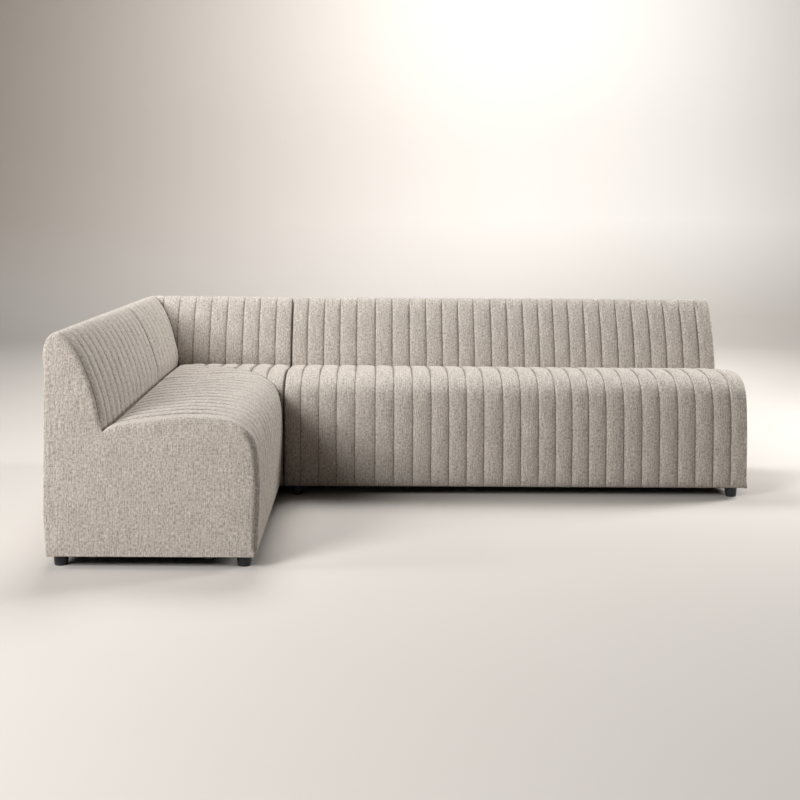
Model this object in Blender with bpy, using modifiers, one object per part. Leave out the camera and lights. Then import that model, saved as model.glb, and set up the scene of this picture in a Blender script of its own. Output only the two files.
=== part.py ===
# Modular channelled corner sofa: a short left bench, a square corner unit and a long right bench.
# Metres, +Z up. X runs along the long bench and Y from the sitter's side to its back.
# The origin is on the floor below the middle of the whole sofa.
# Each unit is drawn in its own frame: x from its back plane, y along its length, z from the floor.

import math

import bmesh
import bpy
from mathutils import Matrix, Vector

# Overall sizes
DEPTH = 0.776
LEFT_LENGTH = 1.183
RIGHT_LENGTH = 2.083
DOCK_GAP = 0.004
TOUCH = 0.0003

# Channels
LEFT_CHANNELS = 14
RIGHT_CHANNELS = 26
CORNER_CHANNELS = 7
CHANNEL_RISE = 0.010
CHANNEL_SHOULDER = 0.28

# Side outline of the back, at the depth of the channel seams
BACK_HEIGHT = 0.836
BACK_SUMMIT_SETBACK = 0.056
BACK_SHOULDER_SETBACK = 0.108
BACK_SHOULDER_DROP = 0.050
BACK_BELLY_SETBACK = 0.185
BACK_BELLY_DROP = 0.173
BACK_REAR_SETBACK = 0.005
BACK_REAR_ROLL = 0.093
BACK_SKIRT = 0.035

# Side outline of the seat, at the depth of the channel seams
SEAT_HEIGHT = 0.535
CREASE_SETBACK = 0.212
CREASE_DROP = 0.046
CREASE_TUCK = 0.016
SEAT_REAR_ROLL = 0.288
SEAT_REAR_BEND = 0.088
SEAT_REAR_BEND_DROP = 0.016
SEAT_FRONT_ROLL = 0.206
SEAT_LIP_BEND = 0.066
SEAT_LIP_SETBACK = 0.0245
SEAT_LIP_DROP = 0.066
SEAT_FRONT_DROP = 0.265
HEM_TUCK = 0.008
REAR_TUCK = 0.010
REAR_TUCK_HEIGHT = 0.144

# Covers and panels
END_PANEL = 0.015
END_PANEL_ROUNDING = 0.010
REAR_PANEL = 0.016
APRON = 0.038
DUST_COVER = 0.002

# Frame
BOARD = 0.018
DECK = 0.015
SUPPORT = 0.013
SEAT_FOAM = 0.177
BACK_FOAM = 0.047
BACK_LEAN = 0.346
HORN_DROP = 0.058
RAIL_WIDTH = 0.070
RAIL_HEIGHT = 0.045
BLOCK_WIDTH = 0.062

# Feet
FOOT_HEIGHT = 0.044
FOOT_TOP_RADIUS = 0.0275
FOOT_BOTTOM_RADIUS = 0.023
FOOT_INSET = 0.060
REAR_FOOT_INSET = 0.054
STEM_RADIUS = 0.004
STEM_LENGTH = 0.024
STEM_CLEARANCE = 0.0005
ROUND_SIDES = 16

# Connectors between the units
PRONG_SETBACKS = (0.180, 0.591)
PRONG_WIDTH = 0.009
PRONG_REACH = 0.024
PRONG_PLATE = 0.003
KEEPER_PLATE = 0.0025
KEEPER_CLEARANCE = 0.0005
BAR_WIDTH = 0.030
BAR_SETBACK = 0.002
BAR_OVERHANG = 0.030

# Smoothness of the drawn curves
REAR_ROLL_STEPS = 3
SHOULDER_STEPS = 2
FACE_STEPS = 3
SEAT_REAR_STEPS = 5
SEAT_LIP_STEPS = 4
SEAT_FRONT_STEPS = 2
CLOSED_END_EASE = 2
PANEL_ROUND_SEGMENTS = 3
MERGE_DISTANCE = 0.000001
FLAT_ANGLE = math.radians(0.1)

# Levels and setbacks that follow from the sizes above
UNDERSIDE = FOOT_HEIGHT + TOUCH
FRAME_BOTTOM = UNDERSIDE + DUST_COVER + TOUCH
RAIL_TOP = FRAME_BOTTOM + RAIL_HEIGHT
CREASE_HEIGHT = SEAT_HEIGHT - CREASE_DROP
HORN_HEIGHT = BACK_HEIGHT - HORN_DROP
DECK_TOP = SEAT_HEIGHT - SEAT_FOAM
DECK_BOTTOM = DECK_TOP - DECK
SEAM_FRONT = DEPTH - CHANNEL_RISE
APRON_BACK = SEAM_FRONT - APRON
FRAME_FRONT = APRON_BACK - TOUCH
FRAME_REAR = REAR_PANEL + TOUCH
RAIL_FRONT = FRAME_REAR + RAIL_WIDTH
INNER_END = END_PANEL + TOUCH
SKIRT_HEIGHT = BACK_HEIGHT - BACK_REAR_ROLL - BACK_SKIRT
TOTAL_X = DEPTH + DOCK_GAP + RIGHT_LENGTH
TOTAL_Y = LEFT_LENGTH + DOCK_GAP + DEPTH


def clear_scene():
    for item in list(bpy.data.objects):
        bpy.data.objects.remove(item, do_unlink=True)


def new_collection(name):
    collection = bpy.data.collections.new(name)
    bpy.context.scene.collection.children.link(collection)
    return collection


def new_material(name, colour, roughness, metallic=0.0):
    material = bpy.data.materials.new(name)
    material.use_nodes = True
    shader = material.node_tree.nodes["Principled BSDF"]
    shader.inputs["Base Color"].default_value = (*colour, 1.0)
    shader.inputs["Roughness"].default_value = roughness
    shader.inputs["Metallic"].default_value = metallic
    return material


clear_scene()
PARTS = new_collection("modular_sofa")
CUTTERS = new_collection("cutters")
FABRIC = new_material("woven_fabric", (0.56, 0.51, 0.45), 0.92)
PLYWOOD = new_material("plywood", (0.62, 0.46, 0.29), 0.6)
TIMBER = new_material("timber", (0.55, 0.38, 0.22), 0.65)
LINING = new_material("lining", (0.03, 0.03, 0.032), 0.95)
PLASTIC = new_material("foot_plastic", (0.018, 0.021, 0.025), 0.45)
STEEL = new_material("connector_steel", (0.05, 0.05, 0.055), 0.4, 0.9)


def add_part(name, mesh, unit, material):
    part = bpy.data.objects.new(name, mesh)
    mesh.name = name
    mesh.materials.clear()
    mesh.materials.append(material)
    PARTS.objects.link(part)
    part.parent = unit
    return part


def add_unit(name, location, turn=0.0):
    unit = bpy.data.objects.new(name, None)
    unit.location = location
    unit.rotation_euler = (0.0, 0.0, turn)
    PARTS.objects.link(unit)
    return unit


def mesh_from(bm, name):
    mesh = bpy.data.meshes.new(name)
    bmesh.ops.recalc_face_normals(bm, faces=bm.faces)
    bm.to_mesh(mesh)
    bm.free()
    return mesh


def box(lower, upper):
    low, high = Vector(lower), Vector(upper)
    bm = bmesh.new()
    placed = Matrix.Translation((low + high) / 2) @ Matrix.Diagonal((*(high - low), 1.0))
    bmesh.ops.create_cube(bm, size=1.0, matrix=placed)
    return mesh_from(bm, "box")


# A flat outline made solid: drawn flat, filled on both sides and given its thickness
def plate(outline, start, end, placed=Matrix.Identity(4)):
    curve = bpy.data.curves.new("outline", "CURVE")
    curve.dimensions = "2D"
    curve.fill_mode = "BOTH"
    curve.extrude = (end - start) / 2
    spline = curve.splines.new("POLY")
    spline.points.add(len(outline) - 1)
    for point, (across, up) in zip(spline.points, outline):
        point.co = (across, up, 0.0, 1.0)
    spline.use_cyclic_u = True
    drawn = bpy.data.objects.new("outline", curve)
    bpy.context.scene.collection.objects.link(drawn)
    seen = drawn.evaluated_get(bpy.context.evaluated_depsgraph_get())
    mesh = bpy.data.meshes.new_from_object(seen)
    bpy.data.objects.remove(drawn, do_unlink=True)
    bm = bmesh.new()
    bm.from_mesh(mesh)
    bpy.data.meshes.remove(mesh)
    bmesh.ops.remove_doubles(bm, verts=bm.verts, dist=MERGE_DISTANCE)
    bmesh.ops.dissolve_limit(bm, angle_limit=FLAT_ANGLE, verts=bm.verts, edges=bm.edges)
    bm.transform(placed @ Matrix.Translation((0.0, 0.0, (start + end) / 2)))
    return mesh_from(bm, "plate")


# A side outline (x, z) made solid between two places along the length
def side_plate(outline, start, end):
    upright = Matrix.Rotation(math.radians(90), 4, "X")
    return plate(outline, -end, -start, upright)


# Points of a round corner between two ends, without its first point
def rounded(start, corner, end, steps):
    points = []
    for step in range(1, steps + 1):
        t = step / steps
        pull = [(1 - t) ** 2, 2 * t * (1 - t), t ** 2]
        points.append(tuple(sum(w * p[i] for w, p in zip(pull, (start, corner, end))) for i in (0, 1)))
    return points


# From the rear hem of the back's cover, over the top and down the face to the crease
def back_outline():
    hem = (BACK_REAR_SETBACK, SKIRT_HEIGHT)
    rear = (BACK_REAR_SETBACK, BACK_HEIGHT - BACK_REAR_ROLL)
    rear_corner = (BACK_REAR_SETBACK, BACK_HEIGHT)
    summit = (BACK_SUMMIT_SETBACK, BACK_HEIGHT)
    shoulder = (BACK_SHOULDER_SETBACK, BACK_HEIGHT - BACK_SHOULDER_DROP)
    belly = (BACK_BELLY_SETBACK, BACK_HEIGHT - BACK_BELLY_DROP)
    face_slope = (belly[0] - shoulder[0]) / (shoulder[1] - belly[1])
    front_corner = (shoulder[0] - face_slope * BACK_SHOULDER_DROP, BACK_HEIGHT)
    foot = (CREASE_SETBACK - TOUCH, CREASE_HEIGHT - CREASE_TUCK)
    outline = [hem, rear]
    outline += rounded(rear, rear_corner, summit, REAR_ROLL_STEPS)
    outline += rounded(summit, front_corner, shoulder, SHOULDER_STEPS)
    outline += rounded(shoulder, belly, foot, FACE_STEPS)
    return outline


# From the crease over the seat to the lip of its front roll
def seat_top_outline():
    crease = (CREASE_SETBACK + TOUCH, CREASE_HEIGHT)
    rear_corner = (CREASE_SETBACK + SEAT_REAR_BEND, SEAT_HEIGHT - SEAT_REAR_BEND_DROP)
    rear = (CREASE_SETBACK + SEAT_REAR_ROLL, SEAT_HEIGHT)
    front = (SEAM_FRONT - SEAT_FRONT_ROLL, SEAT_HEIGHT)
    lip_corner = (SEAM_FRONT - SEAT_LIP_BEND, SEAT_HEIGHT)
    lip = (SEAM_FRONT - SEAT_LIP_SETBACK, SEAT_HEIGHT - SEAT_LIP_DROP)
    outline = [crease]
    outline += rounded(crease, rear_corner, rear, SEAT_REAR_STEPS)
    outline.append(front)
    outline += rounded(front, lip_corner, lip, SEAT_LIP_STEPS)
    return outline


# The whole seat cover: over the lip and down the front to the hem
def seat_outline():
    outline = seat_top_outline()
    lip = outline[-1]
    fall = SEAT_LIP_DROP / (SEAT_LIP_BEND - SEAT_LIP_SETBACK)
    front_corner = (SEAM_FRONT, lip[1] - fall * SEAT_LIP_SETBACK)
    drop = (SEAM_FRONT, SEAT_HEIGHT - SEAT_FRONT_DROP)
    hem = (SEAM_FRONT - HEM_TUCK, UNDERSIDE)
    return outline + rounded(lip, front_corner, drop, SEAT_FRONT_STEPS) + [hem]


# Side view of a whole unit on the crests of its channels
def end_outline():
    rear_hem = (BACK_REAR_SETBACK + REAR_TUCK, UNDERSIDE)
    rear_tuck = (BACK_REAR_SETBACK, UNDERSIDE + REAR_TUCK_HEIGHT)
    return [rear_hem, rear_tuck] + crest(back_outline(), True)[:-1] + crest(seat_outline(), False)


# The same outline on the crest of a channel: each point moved out, eased to nothing at its start
# and, where that is closed too, at its end
def crest(outline, closed_end):
    moved = []
    last = len(outline) - 1
    for index, point in enumerate(outline):
        before = Vector(outline[max(index - 1, 0)])
        after = Vector(outline[min(index + 1, last)])
        along = (after - before).normalized()
        to_end = last - index if closed_end else last
        ease = min(index, to_end, CLOSED_END_EASE) / CLOSED_END_EASE
        rise = CHANNEL_RISE * ease
        moved.append((point[0] - along.y * rise, point[1] + along.x * rise))
    return moved


# A padded cover: its side outline run along the length, low at each seam and high on each channel.
# The channels are counted from the unit's end, and the cover starts and stops high, beside its panels
def channelled(outline, inside, closed_end, width, count, stop):
    low = outline + inside
    high = crest(outline, closed_end) + inside
    sections = []
    for seam in range(1, count):
        sections += [
            ((seam - CHANNEL_SHOULDER) * width, high),
            (seam * width, low),
            ((seam + CHANNEL_SHOULDER) * width, high),
        ]
    sections.append((stop, high))
    bm = bmesh.new()
    order = bm.verts.layers.int.new("order")
    ring = []
    for index, (x, z) in enumerate(high):
        vert = bm.verts.new((x, INNER_END, z))
        vert[order] = index
        ring.append(vert)
    start_cap = bm.faces.new(ring)
    face = start_cap
    for place, section in sections:
        grown = bmesh.ops.extrude_face_region(bm, geom=[face])["geom"]
        if face is not start_cap:
            bm.faces.remove(face)
        face = next(item for item in grown if isinstance(item, bmesh.types.BMFace))
        for vert in face.verts:
            x, z = section[vert[order]]
            vert.co = (x, place, z)
    return mesh_from(bm, "channelled")


# Front and rear faces of the sloping board behind the back's foam, at a height
def support_front(height):
    return CREASE_SETBACK - BACK_FOAM + BACK_LEAN * (CREASE_HEIGHT - height)


def support_rear(height):
    return support_front(height) - SUPPORT


def back_inside():
    top = HORN_HEIGHT + TOUCH
    foot = CREASE_HEIGHT - CREASE_TUCK
    return [
        (support_front(foot) + TOUCH, foot),
        (support_front(top) + TOUCH, top),
        (REAR_PANEL, top),
        (REAR_PANEL, SKIRT_HEIGHT),
    ]


def back_pad(width, count, stop):
    return channelled(back_outline(), back_inside(), True, width, count, stop)


def bench_seat_pad(width, count, stop):
    inside = [
        (APRON_BACK, UNDERSIDE),
        (APRON_BACK, DECK_TOP + TOUCH),
        (CREASE_SETBACK + TOUCH, DECK_TOP + TOUCH),
    ]
    return channelled(seat_outline(), inside, False, width, count, stop)


def corner_seat_pad(width, count, stop):
    inside = [
        (SEAM_FRONT, DECK_TOP + TOUCH),
        (CREASE_SETBACK + TOUCH, DECK_TOP + TOUCH),
    ]
    return channelled(seat_top_outline(), inside, False, width, count, stop)


def support_outline():
    low, high = DECK_BOTTOM, HORN_HEIGHT
    return [
        (support_rear(low), low),
        (support_front(low), low),
        (support_front(high), high),
        (support_rear(high), high),
    ]


# Ply rib: notched over the rails, level under the deck, with a horn that carries the back
def former_outline(front, front_notch):
    ledge = DECK_BOTTOM - TOUCH
    outline = [(RAIL_FRONT + TOUCH, FRAME_BOTTOM)]
    if front_notch:
        rail_rear = FRAME_FRONT - RAIL_WIDTH - TOUCH
        outline += [
            (rail_rear, FRAME_BOTTOM),
            (rail_rear, RAIL_TOP + TOUCH),
            (front, RAIL_TOP + TOUCH),
        ]
    else:
        outline.append((front, FRAME_BOTTOM))
    outline += [
        (front, ledge),
        (support_rear(DECK_BOTTOM) - TOUCH, ledge),
        (support_rear(HORN_HEIGHT) - TOUCH, HORN_HEIGHT),
        (FRAME_REAR, HORN_HEIGHT),
        (FRAME_REAR, RAIL_TOP + TOUCH),
        (RAIL_FRONT + TOUCH, RAIL_TOP + TOUCH),
    ]
    return outline


def front_rail_outline():
    return [
        (FRAME_FRONT - RAIL_WIDTH, FRAME_BOTTOM),
        (FRAME_FRONT, FRAME_BOTTOM),
        (FRAME_FRONT, DECK_BOTTOM - TOUCH),
        (FRAME_FRONT - BOARD, DECK_BOTTOM - TOUCH),
        (FRAME_FRONT - BOARD, RAIL_TOP),
        (FRAME_FRONT - RAIL_WIDTH, RAIL_TOP),
    ]


def rear_panel_outline():
    top = SKIRT_HEIGHT - TOUCH
    return [
        (REAR_TUCK, UNDERSIDE),
        (REAR_PANEL, UNDERSIDE),
        (REAR_PANEL, top),
        (0.0, top),
        (0.0, UNDERSIDE + REAR_TUCK_HEIGHT),
    ]


# Round the edge of a panel on its outer face, at the unit's end
def rounded_panel(part, end):
    mesh = part.data
    weights = mesh.attributes.new("bevel_weight_edge", "FLOAT", "EDGE")
    for edge in mesh.edges:
        setbacks = [abs(mesh.vertices[index].co.y - end) for index in edge.vertices]
        weights.data[edge.index].value = 1.0 if max(setbacks) < MERGE_DISTANCE else 0.0
    bevel = part.modifiers.new("rounded edge", "BEVEL")
    bevel.width = END_PANEL_ROUNDING
    bevel.segments = PANEL_ROUND_SEGMENTS
    bevel.limit_method = "WEIGHT"
    bevel.use_clamp_overlap = False


# Round tapered foot with its screw stem, turned from its profile
def add_foot(name, unit, place):
    profile = [
        (0.0, FOOT_HEIGHT + STEM_LENGTH),
        (STEM_RADIUS, FOOT_HEIGHT + STEM_LENGTH),
        (STEM_RADIUS, FOOT_HEIGHT),
        (FOOT_TOP_RADIUS, FOOT_HEIGHT),
        (FOOT_BOTTOM_RADIUS, 0.0),
        (0.0, 0.0),
    ]
    mesh = bpy.data.meshes.new(name)
    edges = [(index, index + 1) for index in range(len(profile) - 1)]
    mesh.from_pydata([(radius, 0.0, height) for radius, height in profile], edges, [])
    foot = add_part(name, mesh, unit, PLASTIC)
    foot.location = (*place, 0.0)
    turned = foot.modifiers.new("turned", "SCREW")
    turned.steps = ROUND_SIDES
    turned.render_steps = ROUND_SIDES
    turned.use_merge_vertices = True
    turned.merge_threshold = MERGE_DISTANCE
    return foot


# One cutter for all the stem holes of a unit
def stem_cutter(name, unit, places):
    radius = STEM_RADIUS + STEM_CLEARANCE
    top = FOOT_HEIGHT + STEM_LENGTH + STEM_CLEARANCE
    bottom = FOOT_HEIGHT / 2
    bm = bmesh.new()
    for x, y in places:
        placed = Matrix.Translation((x, y, (top + bottom) / 2))
        bmesh.ops.create_cone(bm, cap_ends=True, segments=ROUND_SIDES, radius1=radius, radius2=radius,
                              depth=top - bottom, matrix=placed)
    cutter = bpy.data.objects.new(name, mesh_from(bm, name))
    CUTTERS.objects.link(cutter)
    cutter.parent = unit
    cutter.hide_render = True
    cutter.display_type = "WIRE"
    return cutter


def bore(part, cutter):
    cut = part.modifiers.new("stem holes", "BOOLEAN")
    cut.operation = "DIFFERENCE"
    cut.object = cutter
    cut.solver = "EXACT"


# Strip below one end with two loops that take the neighbour's prongs
def keeper_mesh(end, inward):
    top = UNDERSIDE - TOUCH
    floor = top - PRONG_PLATE - KEEPER_CLEARANCE
    inner = PRONG_WIDTH / 2 + KEEPER_CLEARANCE
    outer = inner + KEEPER_PLATE
    left = PRONG_SETBACKS[0] - BAR_OVERHANG
    right = PRONG_SETBACKS[-1] + BAR_OVERHANG
    outline = [(left, top)]
    for middle in PRONG_SETBACKS:
        outline += [
            (middle - inner, top),
            (middle - inner, floor),
            (middle + inner, floor),
            (middle + inner, top),
        ]
    outline += [(right, top), (right, top - KEEPER_PLATE)]
    for middle in reversed(PRONG_SETBACKS):
        outline += [
            (middle + outer, top - KEEPER_PLATE),
            (middle + outer, floor - KEEPER_PLATE),
            (middle - outer, floor - KEEPER_PLATE),
            (middle - outer, top - KEEPER_PLATE),
        ]
    outline.append((left, top - KEEPER_PLATE))
    places = sorted((end + inward * BAR_SETBACK, end + inward * (BAR_SETBACK + BAR_WIDTH)))
    return side_plate(outline, *places)


# Strip below one end with two flat prongs that reach under the neighbour
def tongue_mesh(end, inward):
    rear = end + inward * (BAR_SETBACK + BAR_WIDTH)
    front = end + inward * BAR_SETBACK
    tip = end - inward * (DOCK_GAP + PRONG_REACH)
    left = PRONG_SETBACKS[0] - BAR_OVERHANG
    right = PRONG_SETBACKS[-1] + BAR_OVERHANG
    outline = [(left, rear), (right, rear), (right, front)]
    for middle in reversed(PRONG_SETBACKS):
        half = PRONG_WIDTH / 2
        outline += [
            (middle + half, front),
            (middle + half, tip),
            (middle - half, tip),
            (middle - half, front),
        ]
    outline.append((left, front))
    return plate(outline, UNDERSIDE - TOUCH - PRONG_PLATE, UNDERSIDE - TOUCH)


# A straight bench; its docking end is at y = 0 or at y = length
def build_bench(name, unit, length, channels, dock_first, centre_rib):
    inner_start, inner_end = INNER_END, length - INNER_END
    width = length / channels
    ends = {"dock": 0.0, "free": length} if dock_first else {"free": 0.0, "dock": length}
    rib_front = FRAME_FRONT - BOARD - TOUCH
    foot_places = {}

    for end, place in ends.items():
        inward = 1 if place == 0.0 else -1
        panel_places = sorted((place, place + inward * END_PANEL))
        panel = side_plate(end_outline(), *panel_places)
        rounded_panel(add_part(f"{name}_{end}_end_panel", panel, unit, FABRIC), place)
        rib_near = place + inward * INNER_END
        rib_places = sorted((rib_near, rib_near + inward * BOARD))
        rib = side_plate(former_outline(rib_front, True), *rib_places)
        add_part(f"{name}_{end}_end_former", rib, unit, PLYWOOD)
        foot_y = place + inward * FOOT_INSET
        foot_places[f"{name}_rear_{end}_foot"] = (REAR_FOOT_INSET, foot_y)
        foot_places[f"{name}_front_{end}_foot"] = (DEPTH - FOOT_INSET, foot_y)
        if end == "dock":
            add_part(f"{name}_tongue_bar", tongue_mesh(place, inward), unit, STEEL)
        else:
            add_part(f"{name}_keeper_bar", keeper_mesh(place, inward), unit, STEEL)

    if centre_rib:
        rib = side_plate(former_outline(rib_front, True), (length - BOARD) / 2, (length + BOARD) / 2)
        add_part(f"{name}_centre_former", rib, unit, PLYWOOD)

    cutter = stem_cutter(f"{name}_stem_holes", unit, foot_places.values())
    for foot, place in foot_places.items():
        add_foot(foot, unit, place)

    front_rail = side_plate(front_rail_outline(), inner_start, inner_end)
    bore(add_part(f"{name}_front_rail", front_rail, unit, TIMBER), cutter)
    rear_rail = box((FRAME_REAR, inner_start, FRAME_BOTTOM), (RAIL_FRONT, inner_end, RAIL_TOP))
    bore(add_part(f"{name}_rear_rail", rear_rail, unit, TIMBER), cutter)
    lining = box((FRAME_REAR, inner_start, UNDERSIDE), (FRAME_FRONT, inner_end, UNDERSIDE + DUST_COVER))
    bore(add_part(f"{name}_dust_cover", lining, unit, LINING), cutter)

    deck_rear = support_front(DECK_BOTTOM) + TOUCH
    deck = box((deck_rear, inner_start, DECK_BOTTOM), (FRAME_FRONT, inner_end, DECK_TOP))
    add_part(f"{name}_seat_deck", deck, unit, PLYWOOD)
    support = side_plate(support_outline(), inner_start, inner_end)
    add_part(f"{name}_back_support", support, unit, PLYWOOD)
    rear_panel = side_plate(rear_panel_outline(), inner_start, inner_end)
    add_part(f"{name}_rear_panel", rear_panel, unit, FABRIC)
    add_part(f"{name}_seat_pad", bench_seat_pad(width, channels, inner_end), unit, FABRIC)
    add_part(f"{name}_back_pad", back_pad(width, channels, inner_end), unit, FABRIC)


# Cut a left-hand piece of the corner unit along the diagonal, where it is mitred to its twin
def mitred(mesh):
    bm = bmesh.new()
    bm.from_mesh(mesh)
    bpy.data.meshes.remove(mesh)
    everything = [*bm.verts, *bm.edges, *bm.faces]
    across = Vector((1.0, 1.0, 0.0)).normalized()
    on_seam = Vector((DEPTH, 0.0, 0.0)) - across * TOUCH / 2
    bmesh.ops.bisect_plane(bm, geom=everything, dist=MERGE_DISTANCE, plane_co=on_seam, plane_no=across,
                           clear_outer=True)
    open_edges = [edge for edge in bm.edges if edge.is_boundary]
    bmesh.ops.edgeloop_fill(bm, edges=open_edges)
    return mesh_from(bm, "mitred")


def twin(mesh):
    copy = mesh.copy()
    over_diagonal = Matrix(((0, -1, 0, DEPTH), (-1, 0, 0, DEPTH), (0, 0, 1, 0), (0, 0, 0, 1)))
    copy.transform(over_diagonal)
    copy.flip_normals()
    return copy


# The corner seat: one half with its channels, mirrored over the mitre between the two backs
def add_corner_seat(unit, width):
    half = corner_seat_pad(width, CORNER_CHANNELS, CORNER_CHANNELS * width)
    seam = Matrix.Translation((DEPTH, 0.0, 0.0)) @ Matrix.Rotation(math.radians(45), 4, "Z")
    half.transform(seam.inverted())
    seat = add_part("corner_seat_pad", half, unit, FABRIC)
    seat.matrix_local = seam
    mirror = seat.modifiers.new("mitre", "MIRROR")
    mirror.use_axis = (True, False, False)
    mirror.use_bisect_axis = (True, False, False)
    mirror.use_bisect_flip_axis = (True, False, False)
    mirror.merge_threshold = MERGE_DISTANCE


# The square corner unit, with backs on its left and rear sides
def build_corner(unit):
    crease_end = DEPTH - CREASE_SETBACK - TOUCH
    width = crease_end / CORNER_CHANNELS
    back_channels = math.ceil(DEPTH / width)
    foot_places = {
        "corner_left_foot": (REAR_FOOT_INSET, FOOT_INSET),
        "corner_outer_foot": (REAR_FOOT_INSET, DEPTH - REAR_FOOT_INSET),
        "corner_right_foot": (DEPTH - FOOT_INSET, DEPTH - REAR_FOOT_INSET),
        "corner_inner_foot": (DEPTH - FOOT_INSET, FOOT_INSET),
    }
    cutter = stem_cutter("corner_stem_holes", unit, foot_places.values())
    for foot, place in foot_places.items():
        add_foot(foot, unit, place)

    rail = box((FRAME_REAR, INNER_END, FRAME_BOTTOM), (RAIL_FRONT, DEPTH, RAIL_TOP))
    support = side_plate(support_outline(), INNER_END, DEPTH)
    outer_panel = side_plate(rear_panel_outline(), INNER_END, DEPTH)
    dock_panel = side_plate(end_outline(), 0.0, END_PANEL)
    rib_front = DEPTH - INNER_END - BOARD - BLOCK_WIDTH / 2
    rib = side_plate(former_outline(rib_front, False), INNER_END, INNER_END + BOARD)
    pad = back_pad(width, back_channels, back_channels * width)
    mitred_pieces = {
        "rail": (rail, TIMBER),
        "back_support": (support, PLYWOOD),
        "outer_panel": (outer_panel, FABRIC),
        "dock_panel": (dock_panel, FABRIC),
        "former": (rib, PLYWOOD),
        "back_pad": (pad, FABRIC),
        "keeper_bar": (keeper_mesh(0.0, 1), STEEL),
    }
    for piece, (mesh, material) in mitred_pieces.items():
        left = mitred(mesh)
        for side, shape in (("left", left), ("right", twin(left))):
            part = add_part(f"corner_{side}_{piece}", shape, unit, material)
            if piece == "rail":
                bore(part, cutter)

    add_corner_seat(unit, width)
    deck_rear = support_front(DECK_BOTTOM) + TOUCH
    deck = box((deck_rear, INNER_END, DECK_BOTTOM), (DEPTH - INNER_END, DEPTH - deck_rear, DECK_TOP))
    add_part("corner_seat_deck", deck, unit, PLYWOOD)
    block_end = DEPTH - INNER_END - BOARD - TOUCH
    block_start = INNER_END + BOARD + TOUCH
    block = box((block_end - BLOCK_WIDTH, block_start, FRAME_BOTTOM),
                (block_end, block_start + BLOCK_WIDTH, DECK_BOTTOM - TOUCH))
    bore(add_part("corner_inner_block", block, unit, TIMBER), cutter)
    lining = box((FRAME_REAR, INNER_END, UNDERSIDE),
                 (DEPTH - INNER_END, DEPTH - FRAME_REAR, UNDERSIDE + DUST_COVER))
    bore(add_part("corner_dust_cover", lining, unit, LINING), cutter)


left_rear, sitter_side, back_side = -TOTAL_X / 2, -TOTAL_Y / 2, TOTAL_Y / 2
corner_unit = add_unit("corner_unit", (left_rear, back_side - DEPTH, 0.0))
left_unit = add_unit("left_bench_unit", (left_rear, sitter_side, 0.0))
right_unit = add_unit("right_bench_unit", (left_rear + DEPTH + DOCK_GAP, back_side, 0.0), math.radians(-90))
build_corner(corner_unit)
build_bench("left_bench", left_unit, LEFT_LENGTH, LEFT_CHANNELS, dock_first=False, centre_rib=False)
build_bench("right_bench", right_unit, RIGHT_LENGTH, RIGHT_CHANNELS, dock_first=True, centre_rib=True)
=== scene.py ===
import math

import bmesh
import bpy
import numpy as np
from mathutils import Matrix, Vector, noise


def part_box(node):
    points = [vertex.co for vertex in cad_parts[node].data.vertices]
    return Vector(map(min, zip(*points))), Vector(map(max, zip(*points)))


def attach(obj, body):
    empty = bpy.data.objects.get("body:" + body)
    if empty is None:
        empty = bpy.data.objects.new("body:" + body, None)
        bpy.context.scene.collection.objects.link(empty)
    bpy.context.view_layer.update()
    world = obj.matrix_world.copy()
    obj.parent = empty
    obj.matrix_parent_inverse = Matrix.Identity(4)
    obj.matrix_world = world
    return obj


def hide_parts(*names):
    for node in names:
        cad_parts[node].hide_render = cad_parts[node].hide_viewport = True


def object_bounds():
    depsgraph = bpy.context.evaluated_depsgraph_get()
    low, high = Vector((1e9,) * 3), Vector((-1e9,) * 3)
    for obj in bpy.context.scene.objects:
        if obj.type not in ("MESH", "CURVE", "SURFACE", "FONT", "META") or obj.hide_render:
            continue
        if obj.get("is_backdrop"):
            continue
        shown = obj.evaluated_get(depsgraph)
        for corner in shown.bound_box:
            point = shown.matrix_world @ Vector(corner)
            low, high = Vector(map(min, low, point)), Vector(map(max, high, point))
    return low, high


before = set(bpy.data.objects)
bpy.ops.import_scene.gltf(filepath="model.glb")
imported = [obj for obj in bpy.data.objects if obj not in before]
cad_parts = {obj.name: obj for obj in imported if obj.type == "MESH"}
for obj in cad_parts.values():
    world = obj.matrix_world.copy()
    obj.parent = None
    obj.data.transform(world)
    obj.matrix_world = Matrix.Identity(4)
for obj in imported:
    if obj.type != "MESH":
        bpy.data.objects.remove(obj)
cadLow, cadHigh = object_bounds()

# Channelled corner sofa: padded covers, panels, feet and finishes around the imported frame.
# Every piece is drawn in its unit's own frame (x from the back plane, y along the length, z up)
# and then set in place.

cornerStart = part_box("corner_left_dock_panel")[0].y
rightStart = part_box("right_bench_dock_end_panel")[0].x
depth = cadHigh.y - cornerStart
unitPlace = {
    "left_bench": Matrix.Translation((cadLow.x, cadLow.y, 0)),
    "corner": Matrix.Translation((cadLow.x, cornerStart, 0)),
    "right_bench": Matrix.Translation((rightStart, cadHigh.y, 0)) @ Matrix.Rotation(-math.pi / 2, 4, "Z"),
}
unitLength = {
    "left_bench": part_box("left_bench_dock_end_panel")[1].y - cadLow.y,
    "right_bench": cadHigh.x - rightStart,
}
scene = bpy.context.scene
print("frame loaded", tuple(round(s, 3) for s in cadHigh - cadLow))


# Small helpers

hair = 1e-5  # points closer than this are in the same place


def setMode(mode):
    bpy.ops.object.mode_set(mode=mode)


def clearSelection():
    if bpy.context.object and bpy.context.object.mode != "OBJECT":
        setMode("OBJECT")
    bpy.ops.object.select_all(action="DESELECT")


def pick(piece):
    clearSelection()
    piece.select_set(True)
    bpy.context.view_layer.objects.active = piece


def editAll(piece):
    pick(piece)
    setMode("EDIT")
    bpy.ops.mesh.select_all(action="SELECT")


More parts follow.
